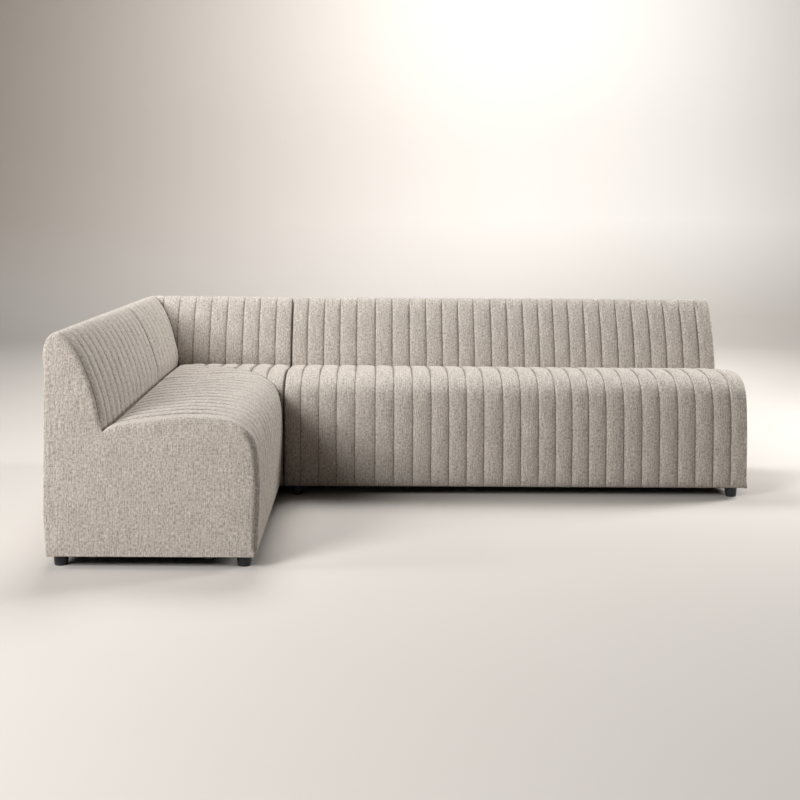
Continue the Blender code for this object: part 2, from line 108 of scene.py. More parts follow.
def readPoints(piece):
    points = np.zeros(len(piece.data.vertices) * 3)
    piece.data.vertices.foreach_get("co", points)
    return points.reshape(-1, 3)


def writePoints(piece, points):
    piece.data.vertices.foreach_set("co", points.astype(np.float32).ravel())
    piece.data.update()


def readMark(piece, mark, kind=np.float32):
    values = np.zeros(len(piece.data.vertices), kind)
    piece.data.attributes[mark].data.foreach_get("value", values)
    return values


def writeMark(piece, mark, values):
    found = piece.data.attributes.get(mark) or piece.data.attributes.new(mark, "FLOAT", "POINT")
    found.data.foreach_set("value", np.asarray(values, np.float32))


def smoothStep(share):
    share = np.clip(share, 0, 1)
    return share * share * (3 - 2 * share)


# A run of points through straight stretches (end, steps) and round bends (corner, end, steps)
def drawRun(start, moves):
    run = [Vector(start)]
    for move in moves:
        first, end, steps = run[-1], Vector(move[-2]), move[-1]
        corner = Vector(move[0]) if len(move) == 3 else (first + end) / 2
        for step in range(1, steps + 1):
            t = step / steps
            run.append(first * (1 - t) ** 2 + corner * 2 * t * (1 - t) + end * t * t)
    return run


def runLengths(run):
    lengths = [0.0]
    for before, after in zip(run, run[1:]):
        lengths.append(lengths[-1] + (after - before).length)
    return lengths


# Outward side of each point, for a run drawn with the outside on its left
def runNormals(run, closed=False):
    normals = []
    count = len(run)
    for index in range(count):
        before = run[index - 1] if closed or index else run[index]
        after = run[(index + 1) % count] if closed or index < count - 1 else run[index]
        along = (after - before).normalized()
        normals.append(Vector((-along.y, along.x)))
    return normals


# A closed loop of points, as a ring that can be extruded
def startRing(name, ring):
    clearSelection()
    bpy.ops.mesh.primitive_circle_add(vertices=len(ring), radius=0.1, fill_type="NOTHING")
    piece = bpy.context.object
    piece.name = piece.data.name = name
    piece.matrix_world = Matrix.Identity(4)
    order = piece.data.attributes.new("order", "INT", "POINT")
    for index, vertex in enumerate(piece.data.vertices):
        vertex.co = ring[index]
        order.data[index].value = index
    setMode("EDIT")
    bpy.ops.mesh.select_mode(type="VERT")
    bpy.ops.mesh.select_all(action="SELECT")
    return piece


def growRing(piece, ring, **marks):
    bpy.ops.mesh.extrude_region_move(TRANSFORM_OT_translate={"value": (0, 0, 0)})
    drawn = bmesh.from_edit_mesh(piece.data)
    order = drawn.verts.layers.int["order"]
    for vertex in drawn.verts:
        if vertex.select:
            vertex.co = ring[vertex[order]]
            for mark, values in marks.items():
                vertex[drawn.verts.layers.float[mark]] = values[vertex[order]]
    bmesh.update_edit_mesh(piece.data)


# Take hold of the open ring at one place along the length
def pickRing(piece, place):
    setMode("EDIT")
    bpy.ops.mesh.select_all(action="DESELECT")
    drawn = bmesh.from_edit_mesh(piece.data)
    for vertex in drawn.verts:
        vertex.select = abs(vertex.co.y - place) < hair
    drawn.select_flush(True)
    bmesh.update_edit_mesh(piece.data)


def closeRing():
    bpy.ops.mesh.edge_face_add()


def setNormals(piece):
    editAll(piece)
    bpy.ops.mesh.normals_make_consistent(inside=False)
    setMode("OBJECT")


def smoothFaces(piece, angle):
    pick(piece)
    bpy.ops.object.shade_smooth_by_angle(angle=math.radians(angle))


def applyLast(piece):
    bpy.ops.object.modifier_apply(modifier=piece.modifiers[-1].name)


def copyPiece(piece, name, move, mirrored=False):
    pick(piece)
    bpy.ops.object.duplicate()
    copy = bpy.context.object
    copy.name = copy.data.name = name
    copy.data.transform(move)
    if mirrored:
        copy.data.flip_normals()
    return copy


# Cloth coordinates in metres: along the unit and along the cover's run
def layWeave(piece, along, across):
    layer = piece.data.uv_layers.get("weave") or piece.data.uv_layers.new(name="weave")
    corners = np.zeros(len(piece.data.loops), np.int32)
    piece.data.loops.foreach_get("vertex_index", corners)
    pairs = np.stack([np.asarray(along)[corners], np.asarray(across)[corners]], 1)
    layer.data.foreach_set("uv", pairs.astype(np.float32).ravel())


# Swell a cover between its sewn seams with cloth under pressure, and hold back what goes too far
puffing = {"pressure": 5.0, "mass": 0.0012, "frames": 18, "cap": 0.0012}
panelPuffing = {"pressure": 1.2, "mass": 0.0012, "frames": 12, "cap": 0.0025}
clothFeel = {"quality": 6, "tension": 12, "compression": 8, "shear": 5, "bending": 0.4}


def puff(piece, held, settings=puffing, ease=1.0):
    pick(piece)
    rest = readPoints(piece)
    group = piece.vertex_groups.new(name="held")
    group.add([int(i) for i in np.flatnonzero(held)], 1.0, "REPLACE")
    cloth = piece.modifiers.new("cloth", "CLOTH")
    cloth.settings.quality = clothFeel["quality"]
    cloth.settings.mass = settings["mass"]
    cloth.settings.tension_stiffness = clothFeel["tension"]
    cloth.settings.compression_stiffness = clothFeel["compression"]
    cloth.settings.shear_stiffness = clothFeel["shear"]
    cloth.settings.bending_stiffness = clothFeel["bending"]
    cloth.settings.use_pressure = True
    cloth.settings.uniform_pressure_force = settings["pressure"]
    cloth.settings.effector_weights.gravity = 0
    cloth.settings.vertex_group_mass = "held"
    cloth.collision_settings.use_collision = False
    cloth.point_cache.frame_start = 1
    cloth.point_cache.frame_end = settings["frames"]
    for step in range(1, settings["frames"] + 1):
        scene.frame_set(step)
    bpy.ops.object.modifier_apply(modifier=cloth.name)
    scene.frame_set(1)
    moved = readPoints(piece) - rest
    length = np.linalg.norm(moved, axis=1)
    kept = settings["cap"] * np.tanh(length / settings["cap"]) * ease
    writePoints(piece, rest + moved * (kept / np.maximum(length, 1e-9))[:, None])
    piece.vertex_groups.clear()
    print(piece.name, "swelled, mm:", round(float(kept.max()) * 1000, 1),
          "mean", round(float(kept.mean()) * 1000, 2))


# Set a finished padded piece in its unit, on its body, for the solid it stands for
def settle(piece, unit, node):
    piece.data.transform(unitPlace[unit])
    piece.data.update()
    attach(piece, unit)
    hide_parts(node)


# Finishes

def newMaterial(name):
    made = bpy.data.materials.new(name)
    made.use_nodes = True
    return made, made.node_tree, made.node_tree.nodes["Principled BSDF"]


def addNode(tree, kind, **values):
    node = tree.nodes.new(kind)
    for name, value in values.items():
        setattr(node, name, value)
    return node


# A shader group with its named sockets
def newGroup(name, inputs, outputs):
    group = bpy.data.node_groups.new(name, "ShaderNodeTree")
    for side, sockets in (("INPUT", inputs), ("OUTPUT", outputs)):
        for socket, kind in sockets.items():
            group.interface.new_socket(socket, in_out=side, socket_type="NodeSocket" + kind)
    return group, addNode(group, "NodeGroupInput"), addNode(group, "NodeGroupOutput")


def mathNode(tree, operation, first, second=None):
    node = addNode(tree, "ShaderNodeMath", operation=operation)
    for socket, value in zip(node.inputs, (first, second)):
        if value is None:
            continue
        if isinstance(value, (int, float)):
            socket.default_value = value
        else:
            tree.links.new(value, socket)
    return node.outputs[0]


def noiseNode(tree, vector, stretch, detail=2.0, rough=0.5):
    mapping = addNode(tree, "ShaderNodeMapping")
    mapping.inputs["Scale"].default_value = stretch
    tree.links.new(vector, mapping.inputs["Vector"])
    node = addNode(tree, "ShaderNodeTexNoise")
    node.inputs["Scale"].default_value = 1.0
    node.inputs["Detail"].default_value = detail
    node.inputs["Roughness"].default_value = rough
    tree.links.new(mapping.outputs["Vector"], node.inputs["Vector"])
    return node.outputs["Fac"]


def spread(tree, value, low, high, toLow=0.0, toHigh=1.0):
    node = addNode(tree, "ShaderNodeMapRange")
    node.inputs["From Min"].default_value = low
    node.inputs["From Max"].default_value = high
    node.inputs["To Min"].default_value = toLow
    node.inputs["To Max"].default_value = toHigh
    tree.links.new(value, node.inputs["Value"])
    return node.outputs["Result"]


def mixColours(tree, share, first, second):
    node = addNode(tree, "ShaderNodeMix", data_type="RGBA")
    for socket, value in zip((node.inputs[0], node.inputs[6], node.inputs[7]), (share, first, second)):
        if isinstance(value, tuple):
            socket.default_value = (*value, 1.0)
        elif isinstance(value, float):
            socket.default_value = value
        else:
            tree.links.new(value, socket)
    return node.outputs[2]


def addBump(tree, height, strength, distance, shader):
    bump = addNode(tree, "ShaderNodeBump")
    bump.inputs["Strength"].default_value = strength
    bump.inputs["Distance"].default_value = distance
    tree.links.new(height, bump.inputs["Height"])
    tree.links.new(bump.outputs["Normal"], shader.inputs["Normal"])


# Heathered weave: slubby warp and weft threads, flecks, the thread relief and painted shade towards the
# seams.
# The first four are cells to the metre, along the unit and along the cover's run
weaveLook = {
    "warp": (280, 13, 1),
    "weft": (75, 250, 1),
    "fleck": (225, 84, 1),
    "wear": (9, 9, 1),
    "threadShare": 0.65,
    "midTone": 1.15,
    "paleTone": 1.54,
    "darkTone": 0.76,
    "wearTones": (0.955, 1.03),
    # painted shade: how far from a seam the colour is darkened, and how dark it gets right at the seam
    "paintedShadeReach": 0.62,
    "paintedShadeTone": 0.42,
    "pitch": 0.0042,
    "crossingShare": 0.35,
    "napSpan": (0.9, 1.7),
    "naps": (0.98, 0.86),
}
noiseSpan = (0.3, 0.7)  # where most of a noise texture's values lie


def makeWeaveGroup():
    group, start, end = newGroup(
        "heatherWeave",
        {"Cloth": "Vector", "SeamShadeMark": "Float", "Pale": "Color", "Mid": "Color", "Dark": "Color"},
        {"Colour": "Color", "Relief": "Float", "Nap": "Float"},
    )
    cloth = start.outputs["Cloth"]
    warp = noiseNode(group, cloth, weaveLook["warp"], 0.0)
    weft = noiseNode(group, cloth, weaveLook["weft"], 0.0)
    fleck = noiseNode(group, cloth, weaveLook["fleck"], 0.0)
    broad = noiseNode(group, cloth, weaveLook["wear"], 3.0)
    threads = mathNode(group, "ADD", mathNode(group, "MULTIPLY", warp, weaveLook["threadShare"]),
                       mathNode(group, "MULTIPLY", weft, weaveLook["threadShare"]))
    mixed = mathNode(group, "ADD", threads, fleck)
    light = spread(group, mixed, weaveLook["midTone"], weaveLook["paleTone"])
    deep = spread(group, mixed, weaveLook["midTone"], weaveLook["darkTone"])
    toned = mixColours(group, light, start.outputs["Mid"], start.outputs["Pale"])
    toned = mixColours(group, deep, toned, start.outputs["Dark"])
    worn = spread(group, broad, *noiseSpan, *weaveLook["wearTones"])
    # painted shade towards each seam, multiplied with the broad wear tone
    seam = spread(group, start.outputs["SeamShadeMark"], 0.0, weaveLook["paintedShadeReach"], weaveLook["paintedShadeTone"], 1.0)
    shade = mathNode(group, "MULTIPLY", worn, seam)
    tint = addNode(group, "ShaderNodeVectorMath", operation="SCALE")
    group.links.new(toned, tint.inputs[0])
    group.links.new(shade, tint.inputs["Scale"])
    group.links.new(tint.outputs["Vector"], end.inputs["Colour"])
    # over and under crossing of the threads
    parts = addNode(group, "ShaderNodeSeparateXYZ")
    group.links.new(cloth, parts.inputs[0])
    turns = 2 * math.pi / weaveLook["pitch"]
    across = mathNode(group, "SINE", mathNode(group, "MULTIPLY", parts.outputs["X"], turns))
    along = mathNode(group, "SINE", mathNode(group, "MULTIPLY", parts.outputs["Y"], turns))
    crossing = mathNode(group, "MULTIPLY", across, along)
    crossed = mathNode(group, "MULTIPLY", crossing, weaveLook["crossingShare"])
    group.links.new(mathNode(group, "ADD", crossed, mixed), end.inputs["Relief"])
    group.links.new(spread(group, mixed, *weaveLook["napSpan"], *weaveLook["naps"]), end.inputs["Nap"])
    return group


weaveGroup = makeWeaveGroup()
heatherFabric = {
    "pale": (0.69, 0.637, 0.582),
    "mid": (0.525, 0.479, 0.432),
    "dark": (0.335, 0.302, 0.270),
    "relief": (0.8, 0.0006),
    "specular": 0.15,
    "sheen": 0.10,
    "sheenRoughness": 0.5,
    "sheenTint": (0.95, 0.91, 0.87),
}


def makeFabric(name, finish):
    made, tree, shader = newMaterial(name)
    cloth = addNode(tree, "ShaderNodeUVMap", uv_map="weave")
    lobe = addNode(tree, "ShaderNodeAttribute", attribute_name="lobe")
    weave = addNode(tree, "ShaderNodeGroup", node_tree=weaveGroup)
    weave.inputs["Pale"].default_value = (*finish["pale"], 1)
    weave.inputs["Mid"].default_value = (*finish["mid"], 1)
    weave.inputs["Dark"].default_value = (*finish["dark"], 1)
    tree.links.new(cloth.outputs["UV"], weave.inputs["Cloth"])
    tree.links.new(lobe.outputs["Fac"], weave.inputs["SeamShadeMark"])
    addBump(tree, weave.outputs["Relief"], *finish["relief"], shader)
    tree.links.new(weave.outputs["Colour"], shader.inputs["Base Color"])
    tree.links.new(weave.outputs["Nap"], shader.inputs["Roughness"])
    shader.inputs["Specular IOR Level"].default_value = finish["specular"]
    shader.inputs["Sheen Weight"].default_value = finish["sheen"]
    shader.inputs["Sheen Roughness"].default_value = finish["sheenRoughness"]
    shader.inputs["Sheen Tint"].default_value = (*finish["sheenTint"], 1)
    return made


fabric = makeFabric("heather_fabric", heatherFabric)

# Runs of the covers in side view, at the depth of the seams
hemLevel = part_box("left_bench_seat_pad")[0].z
hemX = 0.758
rearX = 0.005
rearHemX = 0.015
rearBend = hemLevel + 0.144
creaseX = 0.2120
touch = 0.0003  # half of the gap between a back and its seat
skirtLevel = 0.708
creaseLevel = 0.489
backFoot = 0.473
backTop = 0.836
backFace = [
    ((rearX, backTop), (0.056, backTop), 9),
    ((0.0767, backTop), (0.108, 0.786), 7),
    ((0.185, 0.663), (creaseX - touch, backFoot), 18),
]
seatTop = [
    ((0.300, 0.519), (0.500, 0.5345), 14),
    ((0.560, 0.534), 2),
    ((0.700, 0.534), (0.7415, 0.469), 11),
]
seatFront = [((0.766, 0.430), (0.766, 0.270), 8)]
seatHem = [((0.7595, 0.100), 5), ((hemX, hemLevel + 0.010), 2), ((hemX, hemLevel), (0.750, hemLevel), 3)]
coverRuns = {
    "back": drawRun((rearX, skirtLevel), [((rearX, 0.743), 4)] + backFace),
    "backInside": drawRun((0.1708, backFoot), [
        ((0.0652, 0.7783), 1), ((0.016, 0.7783), 1), ((0.016, skirtLevel), 1),
    ]),
    "seat": drawRun((creaseX + touch, creaseLevel), seatTop + seatFront + seatHem),
    "seatInside": drawRun((0.728, hemLevel), [
        ((0.728, 0.3583), 1), ((creaseX + touch, 0.3583), 1),
    ]),
    "cornerSeat": drawRun((creaseX + touch, creaseLevel), seatTop + seatFront),
    "cornerSeatInside": drawRun((creaseX + touch, 0.345), []),
}

endThickness = 0.0153
channel = {
    "halfColumns": (0.115, 0.225, 0.315, 0.385, 0.432, 0.463, 0.483, 0.4945),
    "crest": 0.0108,
    "depth": {"back": 0.0092, "seatTop": 0.0058, "seatFront": 0.0076, "summitShare": 0.4},
    "shade": {"back": 0.75, "seatTop": 2.8, "seatFront": 0.7},
    "squareness": 2.3,
    "frontFrom": 0.56,
    "frontReach": 0.14,
    "endColumns": (0.42, 0.34, 0.27, 0.22),
    "endRoll": 2.4,
    "sagRoll": 1.6,
    "endLift": {"free": 0.0103, "dock": 0.0085},
    "fade": {"back": (0.045, 0.040), "seat": (0.024, 0.036)},
    "hemRise": 0.10,
    "seamWander": 0.0005,
    "widthWander": 0.018,
    "evenEnds": 0.8,
    "swellEase": 0.045,
    "loft": 0.0030,
    "loftEase": 0.12,
    "loftRise": 0.12,
    "loftStop": 0.62,
    "loftFall": 0.16,
    "liftReach": 0.22,
    "liftLean": 0.12,
    "creasePush": 0.0105,
    "pushEase": 0.12,
    "pushReach": 0.05,
    "smooth": 64,
}
# The channels are shallower over the top of a back
summit = {"level": 0.795, "reach": 0.035}
# The backs grow fuller towards the corner: at the start and end of each back
backFullness = {"left_bench": (0.0, 0.011), "corner": (0.0135, 0.026), "right_bench": (0.011, 0.0)}
fullFrom = {"level": 0.50, "reach": 0.07}
# How far a back's front edge falls away towards the free end
backSag = {"left_bench": 0.0145, "right_bench": 0.002}
# The crease rises towards the corner unit: its lift at the start and end of each seat
creaseLift = {"left_bench": (0.0, 0.018), "corner": (0.020, 0.020), "right_bench": (0.018, 0.0)}


def rearWeight(x):
    return 1 - smoothStep((x - creaseX) / channel["liftReach"])


# How much of a back's fullness a point takes: none at the crease, most where it faces forward
def fullShare(level, forward):
    return smoothStep((level - fullFrom["level"]) / fullFrom["reach"]) * np.clip(forward, 0, 1)


def runValues(run, kind, table):
    if kind == "back":
        over = smoothStep((np.array([p.y for p in run]) - summit["level"]) / summit["reach"])
        return table["back"] * (1 - over * (1 - table.get("summitShare", 1.0)))
    front = smoothStep((np.array([p.x for p in run]) - channel["frontFrom"]) / channel["frontReach"])
    return table["seatTop"] + (table["seatFront"] - table["seatTop"]) * front


def lobeRise(share):
    return max(0.0, 1 - abs(2 * share - 1) ** channel["squareness"]) ** (1 / channel["squareness"])


# How far the swelling dies away towards the two ends of a cover's run
def runFades(lengths, kind):
    first, last = channel["fade"][kind]
    fades = []
    for length in lengths:
        start = float(smoothStep(length / first))
        end = float(smoothStep((lengths[-1] - length) / last))
        if kind == "seat":
            end = channel["hemRise"] + (1 - channel["hemRise"]) * end
        fades.append(start * end)
    return fades


# Drawn from one crown to the next, repeated along the unit, carried out to both ends, loosened a
# little, closed and swelled. Channels are counted from the unit's end
def channelCover(name, kind, run, inside, width, count, stop, seed, ends, lifts=(0, 0), widths=None,
                 freeEnd=None, seatShade=2.2, fulls=(0, 0), sag=0.0):
    outer = len(run)
    lengths = runLengths(run)
    normals = runNormals(run)
    fades = runFades(lengths, kind)
    depths = runValues(run, kind, channel["depth"])
    shades = runValues(run, kind, {**channel["shade"], "seatTop": seatShade})

    def ringAt(place, drops):
        ring = [p + n * (f * (channel["crest"] - d)) for p, n, f, d in zip(run, normals, fades, drops)]
        return [(p.x, place, p.y) for p in ring + list(inside)]

    # painted shade mark: 1 on a crown, falling towards 0 at each seam, where the fabric colour is darkened
    def marksAt(rise):
        return list(rise ** shades) + [1.0] * len(inside)

    piece = startRing(name, ringAt(width / 2, depths * 0))
    setMode("OBJECT")
    writeMark(piece, "lobe", marksAt(1.0))
    writeMark(piece, "reach", lengths + [lengths[-1]] * len(inside))
    setMode("EDIT")
    halves = channel["halfColumns"]
    shares = [0.5 + s for s in halves] + [1.0] + [1.5 - s for s in reversed(halves)] + [1.5]
    for share in shares:
        rise = lobeRise(share % 1.0)
        growRing(piece, ringAt(share * width, depths * (1 - rise)), lobe=marksAt(rise))
    setMode("OBJECT")
    repeat = piece.modifiers.new("channels", "ARRAY")
    repeat.count = count - 1
    repeat.use_relative_offset = False
    repeat.use_constant_offset = True
    repeat.constant_offset_displace = (0, width, 0)
    repeat.use_merge_vertices = True
    repeat.merge_threshold = 0.0001
    applyLast(piece)
    bothEnds = ((ends[0], width / 2, endThickness), (ends[1], (count - 0.5) * width, stop))
    for end, crownPlace, endPlace in bothEnds:
        pickRing(piece, crownPlace)
        full = endPlace - crownPlace
        drop = channel["crest"] - channel["endLift"][end]
        fall = sag * np.clip([n.x for n in normals], 0, 1) * (end == "free")
        for share in (*channel["endColumns"], None):
            gone = full if share is None else math.copysign((0.5 - share) * width, full)
            drops = drop * (gone / full) ** channel["endRoll"] + fall * (gone / full) ** channel["sagRoll"]
            growRing(piece, ringAt(crownPlace + gone, drops), lobe=marksAt(1.0))
        closeRing()
        setMode("OBJECT")
    setNormals(piece)
    # seams wander a little from even spacing and from dead straight
    points = readPoints(piece)
    reach = readMark(piece, "reach")
    lobe = readMark(piece, "lobe")
    order = readMark(piece, "order", np.int32)
    places = points[:, 1] / width
    seams = np.arange(count + 1, dtype=float)
    if widths:
        seams[1:] = np.cumsum(widths) * count / sum(widths)
    wide = channel["widthWander"] * (0.5 if widths else 2)
    for seam in range(1, count):
        seams[seam] += wide * noise.noise((seam * 1.7, seed * 5.3, 0.4))
    toEnd = np.minimum(points[:, 1] - endThickness, stop - points[:, 1])
    moved = np.interp(places, np.arange(count + 1), seams) * width
    inner = smoothStep(toEnd / (channel["evenEnds"] * width))
    wander = [noise.noise((round(p) * 2.3 + seed, r * 5.0, 1.5)) for p, r in zip(places, reach)]
    loose = moved + np.array(wander) * channel["seamWander"]
    points[:, 1] += (loose - points[:, 1]) * inner
    # the back stays full down to the crease, and the seat makes room for it, but not at a free end
    toFree = np.full(len(points), 1.0) if freeEnd is None else np.abs(points[:, 1] - freeEnd)
    push = channel["creasePush"] * smoothStep(toFree / channel["pushEase"]) * (order < outer)
    if kind == "seat":
        ahead = points[:, 0] - creaseX
        push *= 1 - smoothStep(ahead / channel["pushReach"])
        rear = smoothStep(ahead / channel["loftRise"])
        rear *= smoothStep((channel["loftStop"] - points[:, 0]) / channel["loftFall"])
        rear *= smoothStep(toEnd / channel["loftEase"]) * (order < outer)
        points[:, 2] += rear * channel["loft"]
        raised = np.interp(points[:, 1], (0, stop), lifts) * rearWeight(points[:, 0]) * (order < outer)
        points[:, 2] += raised
        points[:, 0] -= raised * channel["liftLean"]
    else:
        faded = np.array([1 - f if length > lengths[-1] / 2 else 0.0 for f, length in zip(fades, lengths)])
        push *= faded[np.minimum(order, outer - 1)]
        facing = np.array([(n.x, n.y) for n in normals])[np.minimum(order, outer - 1)]
        fuller = np.interp(points[:, 1], (0, stop), fulls) * (order < outer)
        fuller *= fullShare(points[:, 2], facing[:, 0])
        points[:, 0] += facing[:, 0] * fuller
        points[:, 2] += facing[:, 1] * fuller
    points[:, 0] += push
    writePoints(piece, points)
    held = (lobe < 0.01) | (order >= outer) | (order == 0) | (order == outer - 1) | (toEnd < hair)
    puff(piece, held, ease=smoothStep(toEnd / channel["swellEase"]))
    layWeave(piece, readPoints(piece)[:, 1] + seed * 0.37, reach)
    smoothFaces(piece, channel["smooth"])
    piece.data.materials.append(fabric)
    return piece


# Channels of the long bench differ a little in width, the same on its seat and back
benchCovers = {
    "left_bench": {"channels": 14, "seed": 1, "ends": ("free", "dock"), "seatShade": 2.8, "widths": None},
    "right_bench": {"channels": 26, "seed": 2, "ends": ("dock", "free"), "seatShade": 1.5, "widths": (
        0.94, 1.01, 0.99, 1.04, 1.14, 1.05, 1.06, 1.02, 1.0, 1.0, 0.97, 1.06, 1.01,
        0.99, 0.96, 0.92, 0.94, 0.97, 1.0, 1.01, 0.98, 1.03, 0.98, 1.0, 0.99, 0.92)},
}
for unit, cover in benchCovers.items():
    width = unitLength[unit] / cover["channels"]
    stop = unitLength[unit] - endThickness
    freeEnd = endThickness if cover["ends"][0] == "free" else stop
    seat = channelCover(unit + "_seatCover", "seat", coverRuns["seat"], coverRuns["seatInside"],
                        width, cover["channels"], stop, cover["seed"], cover["ends"],
                        creaseLift[unit], cover["widths"], freeEnd, cover["seatShade"])
    settle(seat, unit, unit + "_seat_pad")
    back = channelCover(unit + "_backCover", "back", coverRuns["back"], coverRuns["backInside"],
                        width, cover["channels"], stop, cover["seed"], cover["ends"],
                        widths=cover["widths"], freeEnd=freeEnd,
                        fulls=backFullness[unit], sag=backSag[unit])
    settle(back, unit, unit + "_back_pad")
    print(unit, "covers made")


# Corner covers: cut along the mitre between the two backs, and turned over it for the other side
overMitre = Matrix(((0, -1, 0, depth), (-1, 0, 0, depth), (0, 0, 1, 0), (0, 0, 0, 1)))
mitre = {"gap": 0.00015, "sink": 0.0040, "width": 0.020, "shadeWidth": 0.002, "mark": 0.1}


def cutMitre(piece, filled):
    editAll(piece)
    across = Vector((1, 1, 0)).normalized()
    onSeam = Vector((depth, 0, 0)) - across * mitre["gap"] * filled
    bpy.ops.mesh.bisect(plane_co=onSeam, plane_no=across, use_fill=filled, clear_outer=True)
    setMode("OBJECT")


# The cover is drawn in along its mitre seam, and a thin line of painted shade is laid along the seam
def sinkMitre(piece):
    points = readPoints(piece)
    normals = np.zeros(len(points) * 3)
    piece.data.vertices.foreach_get("normal", normals)
    seen = normals.reshape(-1, 3)
    away = (depth - points[:, 0] - points[:, 1]) / math.sqrt(2)
    near = (1 - np.clip(np.abs(away) / mitre["width"], 0, 1)) ** 2
    seam = np.array([1, 1, 0]) / math.sqrt(2)
    seen = seen - np.outer(seen @ seam, seam)
    seen /= np.maximum(np.linalg.norm(seen, axis=1), 1e-6)[:, None]
    points -= seen * (near * mitre["sink"])[:, None]
    writePoints(piece, points)
    # painted shade: a thin dark line along the mitre seam
    onSeam = np.abs(away) < mitre["shadeWidth"]
    writeMark(piece, "lobe", np.where(onSeam, mitre["mark"], readMark(piece, "lobe")))


cornerChannels = 7
cornerWidth = (depth - creaseX - touch) / cornerChannels
cornerBackCount = math.ceil(depth / cornerWidth)
leftBack = channelCover("corner_leftBackCover", "back", coverRuns["back"], coverRuns["backInside"],
                        cornerWidth, cornerBackCount, cornerBackCount * cornerWidth, 7, ("dock", "free"),
                        fulls=backFullness["corner"])
cutMitre(leftBack, True)
sinkMitre(leftBack)
rightBack = copyPiece(leftBack, "corner_rightBackCover", overMitre, True)
settle(leftBack, "corner", "corner_left_back_pad")
settle(rightBack, "corner", "corner_right_back_pad")

cornerSeat = channelCover("corner_seatCover", "seat",
                          coverRuns["cornerSeat"], coverRuns["cornerSeatInside"],
                          cornerWidth, cornerChannels, cornerChannels * cornerWidth, 9, ("dock", "free"),
                          creaseLift["corner"])
cutMitre(cornerSeat, False)
otherHalf = copyPiece(cornerSeat, "corner_seatOther", overMitre, True)
pick(cornerSeat)
otherHalf.select_set(True)
bpy.ops.object.join()
editAll(cornerSeat)
bpy.ops.mesh.remove_doubles(threshold=0.0001)
setMode("OBJECT")
sinkMitre(cornerSeat)
smoothFaces(cornerSeat, channel["smooth"])
settle(cornerSeat, "corner", "corner_seat_pad")
print("corner covers made")

# End panels: a plain face with a rim that carries on from the first channel and rolls over its edge.
# Each ring of the rim: how far in from the unit's end, and how far out from the seams' depth
rims = {
    "free": ((0.0150, 0.0103), (0.0080, 0.0102), (0.0040, 0.0094), (0.0014, 0.0078),
             (-0.0006, 0.0050), (-0.0020, 0.0012), (-0.0028, -0.0026), (-0.0033, -0.0068),
             (-0.0035, -0.0110), (-0.0036, -0.0155), (-0.0036, -0.0210), (-0.0036, -0.0300)),
    "dock": ((0.0150, 0.0085), (0.0105, 0.0078), (0.0068, 0.0060), (0.0042, 0.0034),
             (0.0024, 0.0002), (0.0010, -0.0042), (0.0000, -0.0100), (-0.0008, -0.0170),
             (-0.0014, -0.0240), (-0.0016, -0.0320)),
}
# Painted shade of each ring of the rim, 1 for none: a free end takes it along its tucked front edges, a
# docked end all round, darkening the gap between units
rimShade = {
    "free": (1.0, 1.0, 0.75, 0.4, 0.15, 0.03, 0.0, 0.1, 0.28, 0.5, 0.8, 1.0),
    "dock": (1.0, 0.97, 0.85, 0.6, 0.42, 0.34, 0.34, 0.5, 0.75, 1.0),
}
panelShape = {
    "rearShare": 0.3,
    "hemShare": 0.3,
    "hemDrop": 0.001,
    "backGap": 0.006,
    "backEase": 0.040,
    "dockEase": 0.010,
    "seatEase": 0.024,
    "skirtEase": 0.045,
    "hemEase": 0.06,
    "frontTuck": 0.003,
    "tuckShadePast": 0.5,
    "tuckShadeFrom": 0.35,
    "tuckShadeReach": 0.5,
    "cut": 0.045,
    "cutDepth": 0.75,
    "cutHeight": 0.83,
    "smooth": 50,
}
rearRun = drawRun((rearHemX, hemLevel), [((rearX, rearBend), 5), ((rearX, skirtLevel), 11)])
seatSide = drawRun((creaseX, creaseLevel), seatTop + seatFront + [((hemX, hemLevel), 8)])
hemRun = drawRun((hemX, hemLevel), [((rearHemX, hemLevel), 14)])[1:-1]


# Outline of an end panel, with the crease lifted where the unit docks, and how much of the rim each
# point carries
def panelRun(lift, push, fullness):
    crease = Vector((creaseX + push, creaseLevel + lift))
    skirt = Vector((rearX, skirtLevel))
    seatRun = []
    for point in seatSide:
        ahead = push * float(1 - smoothStep((point.x - creaseX) / channel["pushReach"]))
        raised = lift * float(rearWeight(point.x))
        seatRun.append(point + Vector((ahead - channel["liftLean"] * raised, raised)))
    backEase = panelShape["dockEase"] if push else panelShape["backEase"]
    backRun = []
    for point, normal in zip(coverRuns["back"], runNormals(coverRuns["back"])):
        if point.y > crease.y + panelShape["backGap"]:
            backRun.append(point + normal * fullness * float(fullShare(point.y, normal.x)))
    backRun = backRun[1:]
    shares = [panelShape["rearShare"]] * len(rearRun)
    for point in backRun:
        start = float(smoothStep((point - skirt).length / panelShape["skirtEase"]))
        end = float(smoothStep((point - crease).length / backEase))
        shares.append(max(start, panelShape["rearShare"]) * end)
    lengths = runLengths(seatRun)
    for point, length in zip(seatRun, lengths):
        start = float(smoothStep((point - crease).length / panelShape["seatEase"]))
        end = float(smoothStep((lengths[-1] - length) / channel["fade"]["seat"][1]))
        shares.append(start * (channel["hemRise"] + (1 - channel["hemRise"]) * end))
    onBack = [0] * len(rearRun) + [1] * len(backRun) + [0] * (len(seatRun) + len(hemRun))
    return rearRun + backRun + seatRun + hemRun, shares + [0.0] * len(hemRun), onBack


